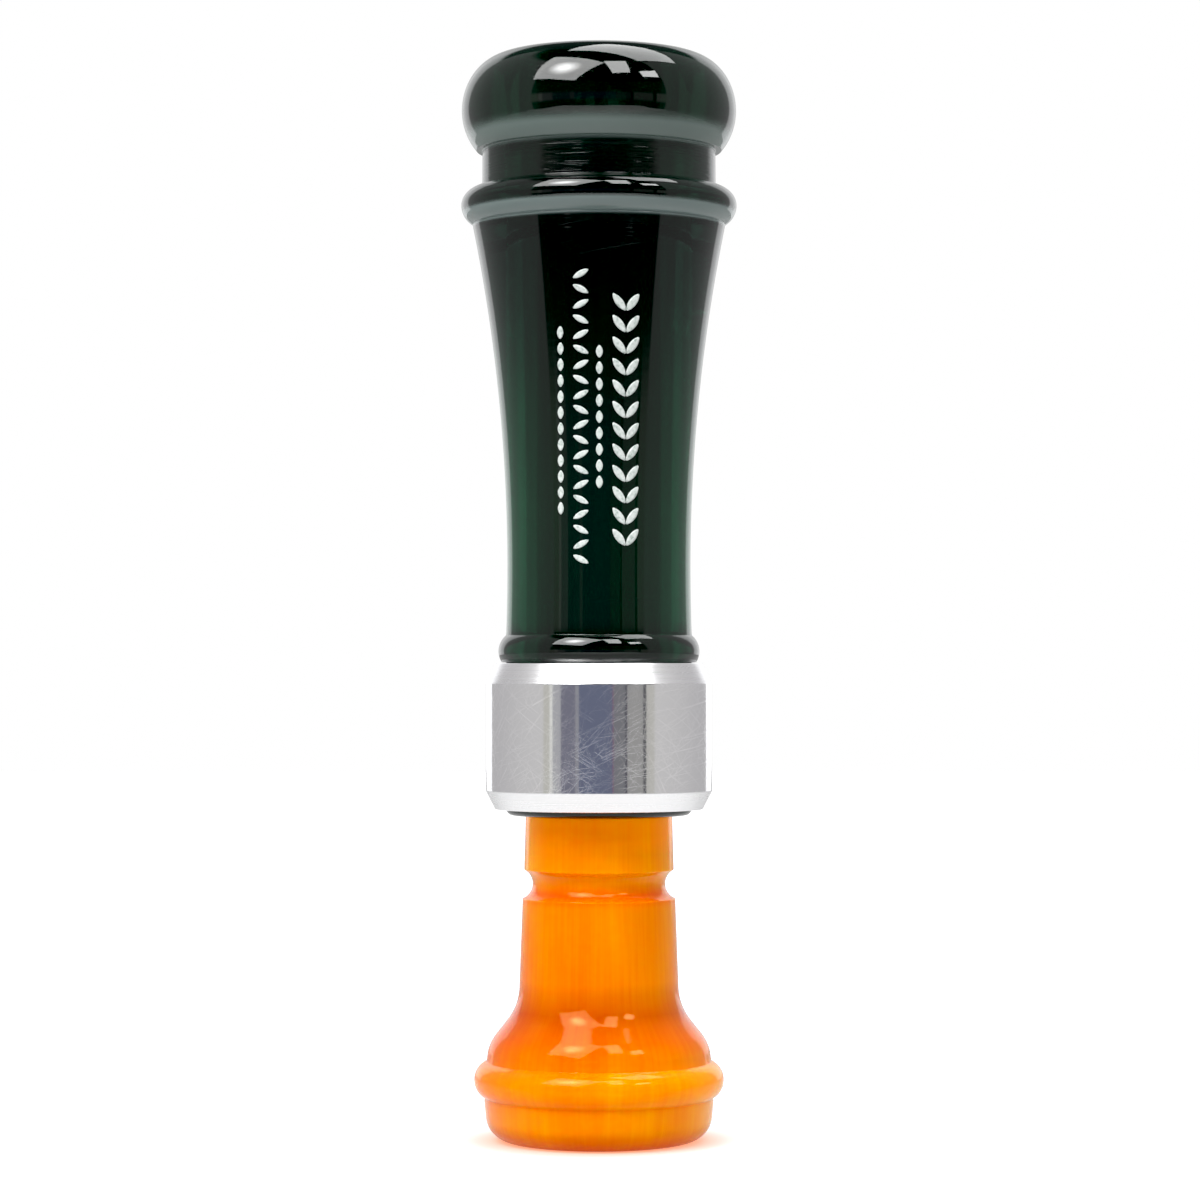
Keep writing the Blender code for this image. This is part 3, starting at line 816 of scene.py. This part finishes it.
def toneboard_cutters():
    """What is milled away from the turned blank to leave the toneboard."""
    front, beyond, wide = -TENON_RADIUS - CLEAR, TIP_Z + CLEAR, TENON_RADIUS + CLEAR
    face = [(TONEBOARD_Y, NOTCH_Z)]
    face += [(toneboard_y(z), z) for z in spread(CURVE_START_Z, TIP_Z, 40)]
    face += [(toneboard_y(beyond), beyond), (front, beyond), (front, notch_z(front))]
    channel_mouth = TONEBOARD_Y - CHANNEL_OVERCUT
    channel = [(channel_mouth, CHANNEL_BOTTOM_Z), (CHANNEL_FLOOR_Y, CHANNEL_BOTTOM_Z)]
    channel += [(channel_y(z), z) for z in spread(CHANNEL_CURVE_Z, CHANNEL_END_Z, 30)]
    channel += [(channel_mouth, CHANNEL_END_Z)]
    slope = (TENON_RADIUS - TIP_BACK_Y) / (TIP_Z - TIP_BEVEL_Z)
    bevel = [
        (wide, TIP_BEVEL_Z - CLEAR / slope),
        (wide, TIP_Z + CLEAR),
        (TIP_BACK_Y - slope * CLEAR, TIP_Z + CLEAR),
    ]
    cutters = [
        side_prism("toneboard_face", face, wide),
        side_prism("tone_channel", channel, CHANNEL_HALF_WIDTH),
        side_prism("tip_bevel", bevel, wide),
    ]
    inner = TIP_HALF_WIDTH - TIP_CORNER_RADIUS
    corner = [(inner, TIP_Z + CLEAR)]
    corner += arc((inner, TIP_Z - TIP_CORNER_RADIUS), TIP_CORNER_RADIUS, 90, 0, 20)
    corner += [(wide, TIP_Z - TIP_CORNER_RADIUS), (wide, TIP_Z + CLEAR)]
    for side in (-1, 1):
        outline = [(side * x, z) for x, z in corner]
        cutters.append(front_prism(f"tip_corner_{side}", outline, wide))
    return cutters


def make_insert(material):
    profile = soften(insert_profile(), EDGE_SOFTNESS, closed=False)
    blank = turned("turned_insert", profile, None, closed=False)
    insert = boolean(blank, toneboard_cutters(), "DIFFERENCE")
    insert.data.materials.append(material)
    even_normals(insert)
    piece(insert, "insert", "insert")


def make_o_ring(name, bottom, top, node, material):
    """An O-ring squeezed to an oval section between the groove and the bore."""
    half_height = (top - bottom) / 2
    half_depth = half_height / RING_SQUEEZE
    centre = (RING_OUTER_RADIUS - half_depth, (top + bottom) / 2)
    section = ellipse(centre, half_depth, half_height, 0, 360, 28)[:-1]
    piece(turned(name, section, material, steps=RING_STEPS), "o_rings", node)


def pit_depth(place, waves, rim, depth):
    """How deep the cork is pitted at a place: 0 outside a pit's rim."""
    return depth * max(0.0, noise.noise(place * waves) - rim)


def make_wedge(material):
    """A cork block under the notch's leaning wall, its faces pitted by broken cells."""
    seat_y, front_z = WEDGE_HIGH.y / MM, WEDGE_HIGH.z / MM
    front_y = -WEDGE_RADIUS - CLEAR
    outline = [
        (seat_y, notch_z(seat_y) + WEDGE_GAP),
        (seat_y, front_z),
        (front_y, front_z),
        (front_y, notch_z(front_y) + WEDGE_GAP),
    ]
    block = side_prism("cork_wedge", outline, WEDGE_RADIUS + CLEAR)
    above = front_z + CLEAR
    round_section = [(0.0, above), (WEDGE_RADIUS, above), (WEDGE_RADIUS, 0.0), (0.0, 0.0)]
    flush = turned("flush_outside", round_section, None, closed=False)
    wedge = boolean(block, [flush], "INTERSECT")
    remesh = wedge.modifiers.new("cells", "REMESH")
    remesh.mode = "VOXEL"
    remesh.voxel_size = CORK_CELL * MM
    wedge = evaluated_copy(wedge, material)
    inward = [-vertex.normal for vertex in wedge.data.vertices]
    for vertex, way in zip(wedge.data.vertices, inward):
        depth = pit_depth(vertex.co, *LARGE_PITS) + pit_depth(vertex.co, *SMALL_PITS)
        vertex.co += way * depth * MM
    piece(wedge, "wedge", "wedge")


def make_reed(material):
    """A thin flat reed with clipped corners, fine enough along its length to bend smoothly."""
    half = REED_HIGH.x / MM
    bottom, top = REED_LOW.z / MM, REED_HIGH.z / MM
    front_y, back_y = REED_LOW.y / MM, REED_HIGH.y / MM
    heights = spread(bottom, top - REED_CORNER, 44) + spread(top - REED_CORNER, top, 4)[1:]
    shape = bmesh.new()
    rows = []
    for z in heights:
        half_here = half - max(0.0, z - (top - REED_CORNER))
        across = spread(-half_here, half_here, 10)
        rows.append([shape.verts.new((x * MM, front_y * MM, z * MM)) for x in across])
    for lower, upper in zip(rows, rows[1:]):
        for i in range(len(lower) - 1):
            shape.faces.new((lower[i], lower[i + 1], upper[i + 1], upper[i]))
    swept = bmesh.ops.extrude_face_region(shape, geom=shape.faces[:])["geom"]
    moved = [v for v in swept if isinstance(v, bmesh.types.BMVert)]
    bmesh.ops.translate(shape, verts=moved, vec=(0, (back_y - front_y) * MM, 0))
    reed = new_object("flexing_reed", shape, material)
    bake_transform(reed)
    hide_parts("reed")


# ---------------------------------------------------------------- ornament


def leaf_mark(shape, across, z, length, width, turn):
    """One pointed mark wrapped onto the waist, centred `across` millimetres round from the front."""
    columns, rows = 8, 4
    slope = radians(turn)
    grid = []
    for i in range(columns + 1):
        along = (i / columns - 0.5) * length
        half = 0.5 * width * sin(pi * min(max(i / columns, 0.02), 0.98)) ** 0.6
        line = []
        for j in range(rows + 1):
            aside = half * (2 * j / rows - 1)
            u = across + along * sin(slope) + aside * cos(slope)
            v = z + along * cos(slope) - aside * sin(slope)
            radius = waist_radius(v) + MARK_PROUD
            angle = u / waist_radius(v)
            line.append(shape.verts.new(Vector((radius * sin(angle), -radius * cos(angle), v)) * MM))
        grid.append(line)
    for low_line, high_line in zip(grid, grid[1:]):
        for j in range(rows):
            shape.faces.new((low_line[j], low_line[j + 1], high_line[j + 1], high_line[j]))


def make_ornament(material):
    """A plain pattern of leaves and lozenges, engraved down the front and filled with white."""
    shape = bmesh.new()
    for z in spread(75.60, 104.42, 11):
        leaf_mark(shape, 2.50, z, 2.5, 0.95, -LEAF_TURN)
        leaf_mark(shape, 4.20, z, 2.5, 0.95, LEAF_TURN)
    for z in spread(82.40, 98.40, 8):
        leaf_mark(shape, 0.05, z, 1.5, 0.85, 0.0)
    for i, z in enumerate(spread(72.90, 107.86, 19)):
        leaf_mark(shape, -2.25, z, 2.1, 0.75, SLANT_TURN if i % 2 else -SLANT_TURN)
    for z in spread(79.20, 100.76, 11):
        leaf_mark(shape, -4.85, z, 1.5, 0.80, 0.0)
    ornament = new_object("barrel_ornament", shape, material)
    thick = ornament.modifiers.new("depth", "SOLIDIFY")
    thick.thickness = MARK_DEPTH * MM
    thick.offset = -1.0
    piece(ornament, "barrel", None)


# ---------------------------------------------------------------- studio


def direction(azimuth, elevation):
    """A unit vector; azimuth 0 is towards the camera and grows to the right."""
    a, e = radians(azimuth), radians(elevation)
    return Vector((sin(a) * cos(e), -cos(a) * cos(e), sin(e)))


def make_studio_world():
    """A white room to the camera. Reflections see grey side screens, a white rear and a dark front."""
    world = bpy.data.worlds.new("studio")
    bpy.context.scene.world = world
    world.use_nodes = True
    nodes = Nodes(world.node_tree)
    way = nodes.add("ShaderNodeTexCoord").outputs["Generated"]
    x, y, z = nodes.add("ShaderNodeSeparateXYZ", {0: way}).outputs
    forward = nodes.math("MULTIPLY", y, -1.0)
    azimuth = nodes.math("MULTIPLY", nodes.math("ARCTAN2", x, forward), 180 / pi)
    round_by = nodes.math("ABSOLUTE", azimuth)
    elevation = nodes.math("MULTIPLY", nodes.math("ARCSINE", z), 180 / pi)

    width = 2 * FRONT_HALF_ANGLE
    stripes = [((start + FRONT_HALF_ANGLE) / width, colour) for start, colour in FRONT_STRIPES]
    front = nodes.between(azimuth, -FRONT_HALF_ANGLE, FRONT_HALF_ANGLE, smooth=False)
    room = nodes.ramp(front, stripes, "CONSTANT")
    off_level = nodes.between(nodes.math("ABSOLUTE", elevation), 4.0, 9.0)
    room = nodes.mix(off_level, room, (0.13, 0.13, 0.14, 1.0))
    room = nodes.mix(nodes.between(elevation, 22.0, 30.0), room, (0.030, 0.032, 0.036, 1.0))
    room = nodes.mix(nodes.between(elevation, -24.0, -19.0, 1.0, 0.0), room, (0.55, 0.55, 0.55, 1.0))

    screens = nodes.ramp(
        nodes.between(round_by, 58.0, 135.0), [(0.0, (0.60, 0.59, 0.59)), (1.0, (0.50, 0.49, 0.50))]
    )
    below_top = nodes.between(elevation, 56.0, 62.0, 1.0, 0.0)
    room = nodes.mix(nodes.math("MULTIPLY", nodes.between(round_by, 57.0, 59.0), below_top), room, screens)

    rear = nodes.ramp(
        nodes.between(round_by, 160.0, 172.0), [(0.0, (1.35, 1.35, 1.37)), (1.0, (0.85, 0.85, 0.85))]
    )
    ceiling = (0.08, 0.085, 0.09, 1.0)
    rear = nodes.mix(nodes.between(elevation, 36.0, 42.0), rear, ceiling)
    room = nodes.mix(nodes.between(round_by, 139.0, 143.0), room, rear)
    seen = nodes.add("ShaderNodeLightPath").outputs["Is Camera Ray"]
    colour = nodes.mix(seen, room, (1.0, 1.0, 1.0, 1.0))
    nodes.put(nodes.tree.nodes["Background"].inputs["Color"], colour)


def make_softbox(name, azimuth, elevation, width, height, roll, radiance, hot):
    """A rectangular area light facing the call, with a brighter middle where `hot` isn't 0."""
    light = bpy.data.lights.new(name, "AREA")
    light.shape = "RECTANGLE"
    light.size = width * LIGHT_DISTANCE
    light.size_y = height * LIGHT_DISTANCE
    light.energy = radiance * 4 * light.size * light.size_y
    obj = bpy.data.objects.new(name, light)
    bpy.context.scene.collection.objects.link(obj)
    away = direction(azimuth, elevation)
    obj.location = Vector((0, 0, LIGHT_AIM_Z)) + away * LIGHT_DISTANCE
    facing = away.to_track_quat("Z", "Y").to_matrix().to_4x4()
    obj.rotation_euler = (facing @ Matrix.Rotation(radians(roll), 4, "Z")).to_euler()
    obj.visible_camera = False
    if hot:
        light.use_nodes = True
        nodes = Nodes(light.node_tree)
        across = nodes.add("ShaderNodeNewGeometry").outputs["Parametric"]
        parts = nodes.add("ShaderNodeSeparateXYZ", {0: across}).outputs
        offsets = [nodes.math("SUBTRACT", parts[i], 0.5) for i in (0, 1)]
        squares = [nodes.math("POWER", nodes.math("ABSOLUTE", o), 2.0) for o in offsets]
        radius = nodes.math("SQRT", nodes.math("ADD", *squares))
        glow = nodes.between(radius, 0.0, 0.34, hot, 1.0)
        nodes.put(nodes.tree.nodes["Emission"].inputs["Strength"], glow)


def make_floor():
    """A pale sheet under the call, whose trimmed front edge shows in its reflections.

    Round the foot it is painted darker and orange, a painted contact shadow and a painted glow of light
    through the amber.
    """
    outline = [(-x, y) for x, y in FLOOR_CORNERS] + [(x, y) for x, y in reversed(FLOOR_CORNERS)]
    shape = bmesh.new()
    shape.faces.new([shape.verts.new((x, y, 0.0)) for x, y in outline])
    nodes = Finish("pale_sheet")
    nodes.shade(base_color=(0.24, 0.24, 0.24, 1.0), roughness=0.7, specular_ior_level=0.1)
    away = nodes.add("ShaderNodeVectorMath", {0: nodes.place}, operation="LENGTH").outputs["Value"]
    # Painted contact shadow and painted orange glow in the floor's colour round the foot
    painted_foot_shade_and_glow = nodes.ramp(
        nodes.between(away, 0.010, 0.022, smooth=False),
        [
            (0.00, (1.00, 0.30, 0.08)),
            (0.45, (0.82, 0.60, 0.53)),
            (0.58, (0.80, 0.72, 0.68)),
            (1.00, (1.00, 1.00, 1.00)),
        ],
    )
    bright_front = nodes.between(nodes.forward, 0.16, 0.26, 0.0, 0.55)
    glow = nodes.math("ADD", nodes.between(away, 0.05, 0.16, 0.60, 0.25), bright_front)
    seen = nodes.add("ShaderNodeLightPath").outputs["Is Camera Ray"]
    nodes.shade(emission_color=painted_foot_shade_and_glow, emission_strength=nodes.math("MAXIMUM", glow, seen))
    floor = new_object("floor", shape, nodes.material)


def make_camera():
    """A little below the call's middle, 455 mm in front of its axis, looking very slightly up."""
    camera = bpy.data.cameras.new("camera")
    camera.sensor_width = 36.0
    camera.lens = CAMERA_LENS_MM
    camera.clip_start = 0.01
    obj = bpy.data.objects.new("camera", camera)
    bpy.context.scene.collection.objects.link(obj)
    obj.location = CAMERA_PLACE
    obj.rotation_euler = (radians(90 + CAMERA_PITCH), 0.0, 0.0)
    bpy.context.scene.camera = obj


def make_studio():
    make_studio_world()
    for softbox in SOFTBOXES:
        make_softbox(*softbox)
    make_floor()
    make_camera()
    settings = bpy.context.scene.view_settings
    settings.view_transform = "Standard"
    settings.look = "None"
    settings.use_curve_mapping = True
    settings.curve_mapping.black_level = (BLACK_LEVEL, BLACK_LEVEL, BLACK_LEVEL)
    settings.curve_mapping.update()


def main():
    make_studio()
    amber, rubber = amber_acrylic(), black_rubber()
    make_barrel(green_acrylic())
    make_band(polished_aluminium())
    make_insert(amber)
    make_o_ring("rubber_ring_lower", LOWER_RING_BOTTOM, LOWER_RING_TOP, "o_ring_lower", rubber)
    make_o_ring("rubber_ring_upper", UPPER_RING_BOTTOM, UPPER_RING_TOP, "o_ring_upper", rubber)
    make_wedge(cork())
    make_reed(reed_film())
    make_ornament(white_fill())


main()
